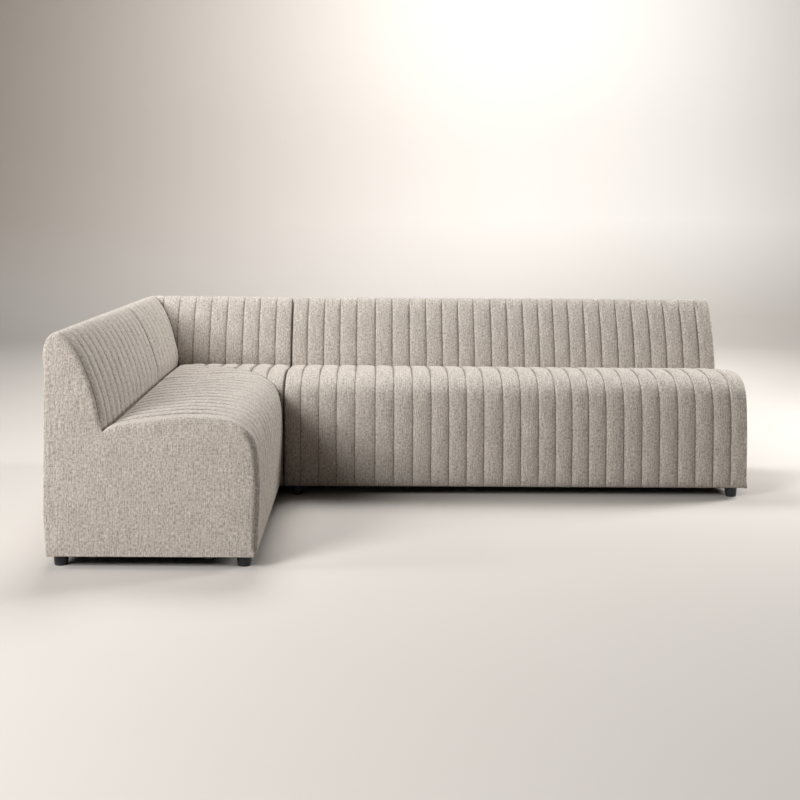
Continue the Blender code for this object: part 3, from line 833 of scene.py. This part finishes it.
# The plain face is cut into a grid, so that it can swell between its seams
def endPanel(name, rim, lift=0.0, push=0.0, fullness=0.0, sag=0.0):
    endRun, shares, onBack = panelRun(lift, push, fullness)
    normals = runNormals(endRun, closed=True)
    sags = [sag * max(0.0, n.x) * b * s for n, b, s in zip(normals, onBack, shares)]
    # a free end is tucked in along its front edges and painted with shade there, which together make a
    # shaded line
    tuckedAndShaded = []
    for p, n in zip(endRun, normals):
        facing = float(smoothStep((n.x - panelShape["tuckShadeFrom"]) / panelShape["tuckShadeReach"]))
        tuckedAndShaded.append(facing * (rim == "free" and p.x > panelShape["tuckShadePast"]))
    rings, marks = [], []
    for (inset, offset), shade in zip(rims[rim], rimShade[rim]):
        ring = []
        for index, (p, n, s) in enumerate(zip(endRun, normals, shares)):
            above = float(smoothStep((p.y - hemLevel) / panelShape["hemEase"]))
            low = panelShape["hemShare"] + (1 - panelShape["hemShare"]) * above
            moved = p + n * (offset * (s if offset > 0 else low) - sags[index])
            moved.y = max(moved.y, hemLevel - panelShape["hemDrop"])
            ring.append((moved.x, inset + panelShape["frontTuck"] * tuckedAndShaded[index] * (1 - shade), moved.y))
        rings.append(ring)
        # painted shade: along the tucked front edges of a free end, all round a docked end
        marks.append([1 - (1 - shade) * t for t in tuckedAndShaded] if rim == "free" else [shade] * len(endRun))
    piece = startRing(name, rings[0])
    setMode("OBJECT")
    writeMark(piece, "lobe", [1.0] * len(endRun))
    setMode("EDIT")
    closeRing()
    for ring, mark in zip(rings[1:], marks[1:]):
        growRing(piece, ring, lobe=mark)
    setMode("OBJECT")
    faceLevel = rims[rim][-1][0]
    rimPoints = len(piece.data.vertices)
    setMode("EDIT")
    bpy.ops.mesh.select_mode(type="FACE")
    for axis, top in ((0, panelShape["cutDepth"]), (2, panelShape["cutHeight"])):
        for cut in np.arange(panelShape["cut"], top, panelShape["cut"]):
            bpy.ops.mesh.select_all(action="DESELECT")
            drawn = bmesh.from_edit_mesh(piece.data)
            for side in drawn.faces:
                side.select = all(abs(v.co.y - faceLevel) < hair for v in side.verts)
            bmesh.update_edit_mesh(piece.data)
            place, across = [0, 0, 0], [0, 0, 0]
            place[axis], across[axis] = cut, 1
            bpy.ops.mesh.bisect(plane_co=place, plane_no=across)
    setMode("OBJECT")
    setNormals(piece)
    puff(piece, np.arange(len(piece.data.vertices)) < rimPoints, panelPuffing)
    points = readPoints(piece)
    layWeave(piece, points[:, 0], points[:, 2] + points[:, 1])
    smoothFaces(piece, panelShape["smooth"])
    piece.data.materials.append(fabric)
    return piece


dockLift = creaseLift["right_bench"][0]
dockPush = channel["creasePush"]
freePanel = endPanel("left_bench_freeEndPanel", "free", sag=backSag["left_bench"])
rightFree = endPanel("right_bench_freeEndPanel", "free", sag=backSag["right_bench"])
dockPanel = endPanel("corner_leftDockPanel", "dock", dockLift, dockPush, backFullness["corner"][0])
rightDock = endPanel("right_bench_dockEndPanel", "dock", dockLift, dockPush, backFullness["right_bench"][0])


def farEnd(unit):
    return Matrix.Translation((0, unitLength[unit], 0)) @ Matrix.Diagonal((1, -1, 1, 1))


leftDock = copyPiece(rightDock, "left_bench_dockEndPanel", farEnd("left_bench"), True)
rightFree.data.transform(farEnd("right_bench"))
rightFree.data.flip_normals()
settle(freePanel, "left_bench", "left_bench_free_end_panel")
settle(leftDock, "left_bench", "left_bench_dock_end_panel")
settle(rightDock, "right_bench", "right_bench_dock_end_panel")
settle(rightFree, "right_bench", "right_bench_free_end_panel")
cutMitre(dockPanel, True)
otherDock = copyPiece(dockPanel, "corner_rightDockPanel", overMitre, True)
settle(dockPanel, "corner", "corner_left_dock_panel")
settle(otherDock, "corner", "corner_right_dock_panel")
print("end panels made")

# Rear panels below the back covers, swelled a little, and the corner's pair mitred at a round corner
rearPanel = {
    "step": 0.05,
    "edge": 0.006,
    "edgeSteps": (0.003, 0.008, 0.016),
    "cornerRound": 0.030,
    "cornerSteps": 9,
    "faceDepth": 0.012,
    "heldEnd": 0.012,
    "heldHem": 0.010,
    "heldTop": 0.011,
    "smooth": 50,
}
rearOutline = drawRun((0.016, hemLevel), [
    ((0.013, hemLevel), 1),
    ((0.010, hemLevel), (0.0095, hemLevel + 0.006), 3),
    ((0.0, rearBend), 5),
    ((0.0, skirtLevel - 0.012), 11),
    ((0.0, skirtLevel - 0.002), (0.006, skirtLevel - 0.0006), 4),
    ((0.016, skirtLevel - 0.0006), 1),
])


def rearCover(name, length, fullEnd):
    start, end = endThickness, length - (0 if fullEnd else endThickness)
    places = [start] + [start + step for step in rearPanel["edgeSteps"]]
    steps = round((end - start) / rearPanel["step"])
    places += list(np.linspace(start, end, steps)[1:-1])
    if fullEnd:
        places += list(np.linspace(end - rearPanel["cornerRound"], end, rearPanel["cornerSteps"]))
    else:
        places += [end - step for step in rearPanel["edgeSteps"]] + [end]
    places = sorted(set(round(float(p), 5) for p in places))

    def ringAt(place):
        ends = place - start if fullEnd else min(place - start, end - place)
        pull = rearPanel["edge"] * (1 - float(smoothStep(ends / rearPanel["edgeSteps"][-1])))
        past = max(0.0, place - (end - rearPanel["cornerRound"])) if fullEnd else 0.0
        bend = rearPanel["cornerRound"] - math.sqrt(max(0.0, rearPanel["cornerRound"] ** 2 - past ** 2))
        pulls = [pull if p.x < rearPanel["faceDepth"] else 0.0 for p in rearOutline]
        return [(p.x + inward + bend, place, p.y) for p, inward in zip(rearOutline, pulls)]

    piece = startRing(name, ringAt(places[0]))
    closeRing()
    for place in places[1:]:
        growRing(piece, ringAt(place))
    closeRing()
    setMode("OBJECT")
    writeMark(piece, "lobe", [1.0] * len(piece.data.vertices))
    setNormals(piece)
    points = readPoints(piece)
    along, level = points[:, 1], points[:, 2]
    loose = (points[:, 0] < rearPanel["faceDepth"]) & (along > start + rearPanel["heldEnd"])
    loose &= along < end - rearPanel["cornerRound" if fullEnd else "heldEnd"]
    loose &= (level > hemLevel + rearPanel["heldHem"]) & (level < skirtLevel - rearPanel["heldTop"])
    puff(piece, ~loose, panelPuffing)
    points = readPoints(piece)
    layWeave(piece, points[:, 1], points[:, 2])
    smoothFaces(piece, rearPanel["smooth"])
    piece.data.materials.append(fabric)
    return piece


for unit in benchCovers:
    cover = rearCover(unit + "_rearCover", unitLength[unit], False)
    settle(cover, unit, unit + "_rear_panel")
leftOuter = rearCover("corner_leftOuterCover", depth, True)
cutMitre(leftOuter, True)
rightOuter = copyPiece(leftOuter, "corner_rightOuterCover", overMitre, True)
settle(leftOuter, "corner", "corner_left_outer_panel")
settle(rightOuter, "corner", "corner_right_outer_panel")
print("rear panels made")

# Feet: turned once from rings, with eased edges, a groove over the glide and a stem, then copied
foot = {
    "sides": 48,
    "rings": ((0.0205, 0.0), (0.0233, 0.0008), (0.0239, 0.0024), (0.0239, 0.0050), (0.0232, 0.0056),
              (0.0233, 0.0064), (0.0245, 0.0070), (0.0251, 0.0125), (0.0262, 0.0225), (0.0272, 0.0325),
              (0.0281, 0.0400), (0.0283, 0.0422), (0.0279, 0.0434), (0.0266, 0.0439), (0.0052, 0.0440),
              (0.0040, 0.0446), (0.0040, 0.0660), (0.0034, 0.0680)),
    "smooth": 35,
}


def turnedFoot(name):
    turns = [2 * math.pi * side / foot["sides"] for side in range(foot["sides"])]

    def ringAt(radius, level):
        return [(radius * math.cos(t), radius * math.sin(t), level) for t in turns]

    piece = startRing(name, ringAt(*foot["rings"][0]))
    closeRing()
    for radius, level in foot["rings"][1:]:
        growRing(piece, ringAt(radius, level))
    closeRing()
    setMode("OBJECT")
    setNormals(piece)
    smoothFaces(piece, foot["smooth"])
    return piece


# Hard finishes: a fine grain for gloss and relief, and a cloud for the colour (cells to the metre,
# detail, roughness of the noise)
hardFinish = {
    "moulded_black": {"grain": (900, 3.0, 0.6), "cloud": (22, 3.0, 0.5), "cloudSpan": noiseSpan,
                      "colours": ((0.013, 0.016, 0.021), (0.024, 0.028, 0.035)),
                      "gloss": (0.36, 0.52), "relief": (0.35, 0.0002)},
    "coated_steel": {"grain": (650, 2.0, 0.5), "cloud": (55, 4.0, 0.6), "cloudSpan": (0.45, 0.75),
                     "colours": ((0.028, 0.028, 0.031), (0.075, 0.074, 0.076)),
                     "gloss": (0.38, 0.55), "relief": (0.3, 0.0002)},
}


def evenNoise(tree, where, scale, detail, rough):
    return noiseNode(tree, where, (scale, scale, scale), detail, rough)


def makeHard(name):
    finish = hardFinish[name]
    made, tree, shader = newMaterial(name)
    where = addNode(tree, "ShaderNodeTexCoord").outputs["Object"]
    grain = evenNoise(tree, where, *finish["grain"])
    cloud = evenNoise(tree, where, *finish["cloud"])
    colour = mixColours(tree, spread(tree, cloud, *finish["cloudSpan"]), *finish["colours"])
    tree.links.new(colour, shader.inputs["Base Color"])
    tree.links.new(spread(tree, grain, *noiseSpan, *finish["gloss"]), shader.inputs["Roughness"])
    addBump(tree, grain, *finish["relief"], shader)
    return made


plastic = makeHard("moulded_black")
firstFoot = turnedFoot("turnedFoot")
firstFoot.data.materials.append(plastic)
for node in sorted(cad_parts):
    if not node.endswith("_foot"):
        continue
    low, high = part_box(node)
    unit = next(body for body in unitPlace if node.startswith(body))
    made = copyPiece(firstFoot, node.replace("_foot", "Foot"),
                     Matrix.Translation(((low.x + high.x) / 2, (low.y + high.y) / 2, 0)))
    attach(made, unit)
    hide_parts(node)
bpy.data.objects.remove(firstFoot, do_unlink=True)
print("feet made")

# Dust cloths under the units: one sheet each, stretched to the rails and sagging a little
dustCloth = {
    "thickness": 0.0012,
    "gap": 0.0001,
    "step": 0.04,
    "sag": 0.0035,
    "sagReach": 0.12,
    "flatEdge": 0.075,
    "smooth": 40,
    "fibre": (420, 4.0, 0.65),
    "blotch": (60, 2.0, 0.5),
    "tones": (0.75, 1.25),
    "colours": ((0.016, 0.016, 0.018), (0.045, 0.044, 0.046)),
    "gloss": (0.88, 0.98),
    "relief": (0.5, 0.0004),
}


def makeLining():
    made, tree, shader = newMaterial("dust_cloth")
    where = addNode(tree, "ShaderNodeTexCoord").outputs["Object"]
    fibre = evenNoise(tree, where, *dustCloth["fibre"])
    blotch = evenNoise(tree, where, *dustCloth["blotch"])
    mixed = mathNode(tree, "ADD", fibre, blotch)
    colour = mixColours(tree, spread(tree, mixed, *dustCloth["tones"]), *dustCloth["colours"])
    tree.links.new(colour, shader.inputs["Base Color"])
    tree.links.new(spread(tree, fibre, *noiseSpan, *dustCloth["gloss"]), shader.inputs["Roughness"])
    addBump(tree, mixed, *dustCloth["relief"], shader)
    return made


lining = makeLining()
dustNodes = {
    "left_bench": ("left_bench_dust_cover", ["left_bench_front_rail", "left_bench_rear_rail"]),
    "corner": ("corner_dust_cover", ["corner_left_rail", "corner_right_rail", "corner_inner_block"]),
    "right_bench": ("right_bench_dust_cover", ["right_bench_front_rail", "right_bench_rear_rail"]),
}
for unit, (node, rails) in dustNodes.items():
    low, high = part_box(node)
    size = high - low
    clearSelection()
    bpy.ops.mesh.primitive_grid_add(x_subdivisions=round(size.x / dustCloth["step"]),
                                    y_subdivisions=round(size.y / dustCloth["step"]), size=1)
    cloth = bpy.context.object
    cloth.name = cloth.data.name = unit + "_dustCloth"
    points = readPoints(cloth)
    edge = (0.5 - np.abs(points[:, :2])) * np.array([size.x, size.y])
    sag = smoothStep((edge.min(axis=1) - dustCloth["flatEdge"]) / dustCloth["sagReach"]) * dustCloth["sag"]
    points[:, 0] = low.x + (points[:, 0] + 0.5) * size.x
    points[:, 1] = low.y + (points[:, 1] + 0.5) * size.y
    points[:, 2] = high.z - dustCloth["thickness"] / 2 - dustCloth["gap"] - sag
    writePoints(cloth, points)
    wall = cloth.modifiers.new("thickness", "SOLIDIFY")
    wall.thickness = dustCloth["thickness"]
    wall.offset = 0
    applyLast(cloth)
    smoothFaces(cloth, dustCloth["smooth"])
    cloth.data.materials.append(lining)
    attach(cloth, unit)
    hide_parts(node)
print("dust cloths made")


# Finishes of the frame inside: ply, sawn timber and coated steel
woodLook = {
    "figure": (5, 5, 26),
    "pores": (40, 40, 420),
    "rings": 9.0,
    "ringShare": 0.55,
    "tones": (0.35, 1.1),
    "polish": (0.55, 0.78),
    "relief": (0.4, 0.0004),
}


def makeWoodGroup():
    group, start, end = newGroup(
        "woodGrain",
        {"Place": "Vector", "Pale": "Color", "Dark": "Color"},
        {"Colour": "Color", "Relief": "Float", "Polish": "Float"},
    )
    figure = noiseNode(group, start.outputs["Place"], woodLook["figure"], 4.0, 0.55)
    pores = noiseNode(group, start.outputs["Place"], woodLook["pores"], 3.0, 0.6)
    bands = mathNode(group, "FRACT", mathNode(group, "MULTIPLY", figure, woodLook["rings"]))
    grain = mathNode(group, "ADD", mathNode(group, "MULTIPLY", bands, woodLook["ringShare"]), pores)
    darker = spread(group, grain, *woodLook["tones"])
    colour = mixColours(group, darker, start.outputs["Pale"], start.outputs["Dark"])
    group.links.new(colour, end.inputs["Colour"])
    group.links.new(grain, end.inputs["Relief"])
    group.links.new(spread(group, pores, *noiseSpan, *woodLook["polish"]), end.inputs["Polish"])
    return group


woodGroup = makeWoodGroup()
woods = {
    "birch_ply": {"pale": (0.70, 0.55, 0.37), "dark": (0.52, 0.36, 0.20)},
    "sawn_timber": {"pale": (0.64, 0.46, 0.27), "dark": (0.42, 0.26, 0.13)},
}


def makeWood(name):
    made, tree, shader = newMaterial(name)
    where = addNode(tree, "ShaderNodeTexCoord").outputs["Object"]
    wood = addNode(tree, "ShaderNodeGroup", node_tree=woodGroup)
    wood.inputs["Pale"].default_value = (*woods[name]["pale"], 1)
    wood.inputs["Dark"].default_value = (*woods[name]["dark"], 1)
    tree.links.new(where, wood.inputs["Place"])
    tree.links.new(wood.outputs["Colour"], shader.inputs["Base Color"])
    tree.links.new(wood.outputs["Polish"], shader.inputs["Roughness"])
    addBump(tree, wood.outputs["Relief"], *woodLook["relief"], shader)
    return made


frameFinish = {"rail": makeWood("sawn_timber"), "former": makeWood("birch_ply")}
frameFinish["bar"] = makeHard("coated_steel")
frameFinish["block"] = frameFinish["rail"]
frameFinish["deck"] = frameFinish["support"] = frameFinish["former"]
for node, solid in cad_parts.items():
    finish = frameFinish.get(node.split("_")[-1])
    if finish:
        solid.data.materials.clear()
        solid.data.materials.append(finish)
print("frame finished")

# Camera at the photograph's viewpoint
view = {
    "place": (-0.2574, -5.6016, 1.2802),
    "roll": 0.0050,
    "lens": 58.229,
    "sensor": 36,
    "shift": (0.0341, -0.2353),
}
clearSelection()
bpy.ops.object.camera_add(location=view["place"], rotation=(math.pi / 2, -view["roll"], 0))
camera = bpy.context.object
camera.data.lens = view["lens"]
camera.data.sensor_width = view["sensor"]
camera.data.shift_x, camera.data.shift_y = view["shift"]
scene.camera = camera

# Pale floor that sweeps up behind the sofa
sweep = {
    "near": -12,
    "bend": 6.9,
    "far": 9.2,
    "bendTop": 2.3,
    "top": 9,
    "width": 18,
    "cloud": (0.6, 3.0, 0.5),
    "floorColours": ((0.62, 0.585, 0.55), (0.66, 0.63, 0.595)),
    "wallFrom": (0.2, 1.2),
    "wallShadeSpan": (-4.9, 3.6),
    "wallShadeColours": ((0.56, 0.50, 0.45), (0.90, 0.88, 0.85)),
    "bounceColour": (0.235, 0.195, 0.165),
    "roughness": 0.9,
}
clearSelection()
floorRun = drawRun((sweep["near"], 0), [
    ((sweep["bend"], 0), 6),
    ((sweep["far"], 0), (sweep["far"], sweep["bendTop"]), 14),
    ((sweep["far"], sweep["top"]), 3),
])
bpy.ops.mesh.primitive_grid_add(x_subdivisions=1, y_subdivisions=len(floorRun) - 1, size=1)
floor = bpy.context.object
floor.name = "floorSweep"
for vertex in floor.data.vertices:
    stop = floorRun[round((vertex.co.y + 0.5) * (len(floorRun) - 1))]
    vertex.co = (vertex.co.x * sweep["width"], stop.x, stop.y)
bpy.ops.object.shade_smooth()
floor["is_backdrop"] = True
floorFinish, tree, shader = newMaterial("pale_floor")
where = addNode(tree, "ShaderNodeTexCoord").outputs["Object"]
cloud = evenNoise(tree, where, *sweep["cloud"])
pale = mixColours(tree, cloud, *sweep["floorColours"])
sides = addNode(tree, "ShaderNodeSeparateXYZ")
tree.links.new(where, sides.inputs[0])
wall = spread(tree, sides.outputs["Z"], *sweep["wallFrom"])
# painted shade and light: the rising wall runs from darker on the left to brighter on the right
wallLitShare = spread(tree, sides.outputs["X"], *sweep["wallShadeSpan"])
pale = mixColours(tree, wall, pale, mixColours(tree, wallLitShare, *sweep["wallShadeColours"]))
bounced = addNode(tree, "ShaderNodeLightPath").outputs["Is Diffuse Ray"]
tree.links.new(mixColours(tree, bounced, pale, sweep["bounceColour"]), shader.inputs["Base Color"])
shader.inputs["Roughness"].default_value = sweep["roughness"]
floor.data.materials.append(floorFinish)

# Soft studio light
sofaMiddle = (0.1, 0.2, 0.3)
lampColour = (1.0, 0.988, 0.975)
studio = {
    "rearTop": {"place": (0.9, 4.6, 4.6), "aim": (1.0, 8.2, 1.2), "size": 3.5, "power": 350},
    "midTop": {"place": (-1.1, 1.8, 4.3), "aim": sofaMiddle, "size": 2.0, "power": 148},
    "near": {"place": (-4.2, -5.0, 3.3), "aim": sofaMiddle, "size": 2.3, "power": 385},
    "side": {"place": (-5.4, -1.2, 2.8), "aim": sofaMiddle, "size": 1.0, "power": 75},
    "right": {"place": (4.2, 1.4, 2.0), "aim": sofaMiddle, "size": 1.2, "power": 155},
}
for name, lamp in studio.items():
    aim = (Vector(lamp["aim"]) - Vector(lamp["place"])).to_track_quat("-Z", "Y").to_euler()
    bpy.ops.object.light_add(type="AREA", location=lamp["place"], rotation=aim)
    light = bpy.context.object
    light.name = name + "Light"
    light.data.size = lamp["size"]
    light.data.energy = lamp["power"]
    light.data.color = lampColour
# The air gives a little light, and is pale where it is seen past the floor
air = {"strength": 0.04, "seen": 0.62, "colour": (1.0, 0.97, 0.94, 1)}
world = bpy.data.worlds.new("studioAir")
world.use_nodes = True
tree = world.node_tree
tree.nodes["Background"].inputs["Color"].default_value = air["colour"]
seen = addNode(tree, "ShaderNodeLightPath").outputs["Is Camera Ray"]
tree.links.new(spread(tree, seen, 0.0, 1.0, air["strength"], air["seen"]),
               tree.nodes["Background"].inputs["Strength"])
scene.world = world
scene.view_settings.view_transform = "Standard"

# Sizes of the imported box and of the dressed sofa
low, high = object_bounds()
print("dressed size", [round(v, 4) for v in (*low, *high)])
